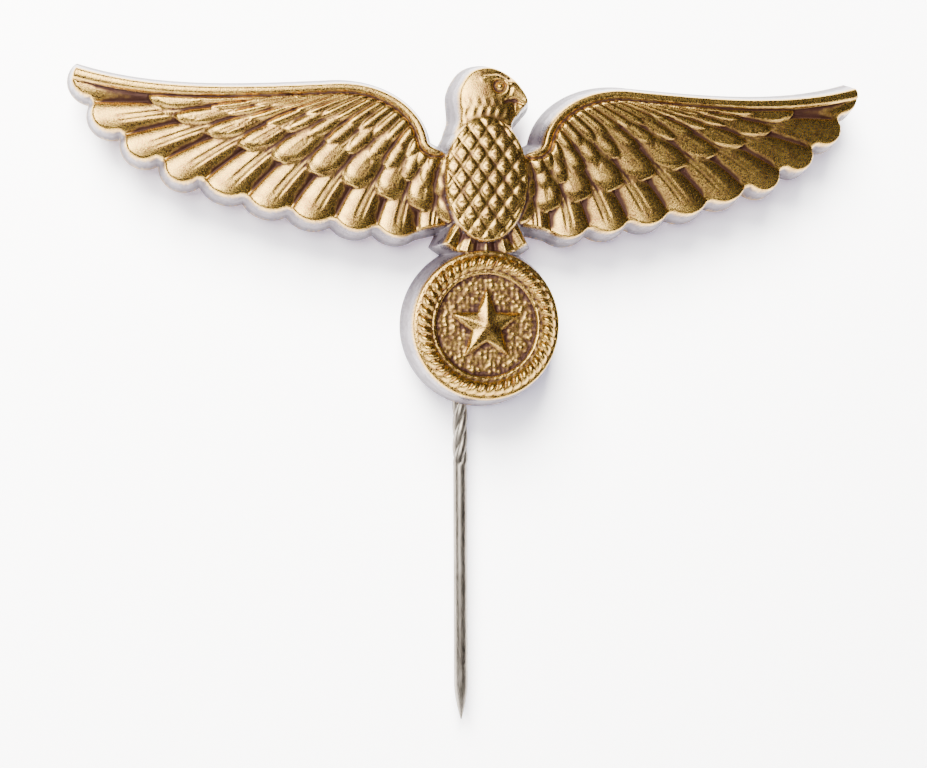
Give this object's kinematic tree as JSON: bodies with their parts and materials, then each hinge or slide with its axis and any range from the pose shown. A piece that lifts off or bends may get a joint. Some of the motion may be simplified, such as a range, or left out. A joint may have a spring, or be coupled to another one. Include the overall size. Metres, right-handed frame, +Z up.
{
  "type": "cap badge",
  "caption": "Pressed hollow bird badge with spread wings above a round medallion, held by a soldered stick pin with a spiral shank.",
  "frame": {"origin": "centre of the medallion on the plane of the shell's back rim", "axes": "+Z up as worn, +X to the viewer's right along the wings, face towards -Y, back and pin towards +Y"},
  "size_m": [0.065, 0.006, 0.0538],
  "materials": {
    "aged_brass": "struck brass, bright on the high relief, dark brown patina in the hollows",
    "dull_brass": "plain rolled brass, dull",
    "nickel_steel": "drawn wire, nickel plated, satin and slightly worn",
    "solder": "soft solder, dull grey"
  },
  "bodies": {
    "root": {"badge_shell": "aged_brass", "backing_disc": "dull_brass", "rim_solder": "solder", "pin": "nickel_steel", "pin_solder": "solder"}
  },
  "joints": []
}
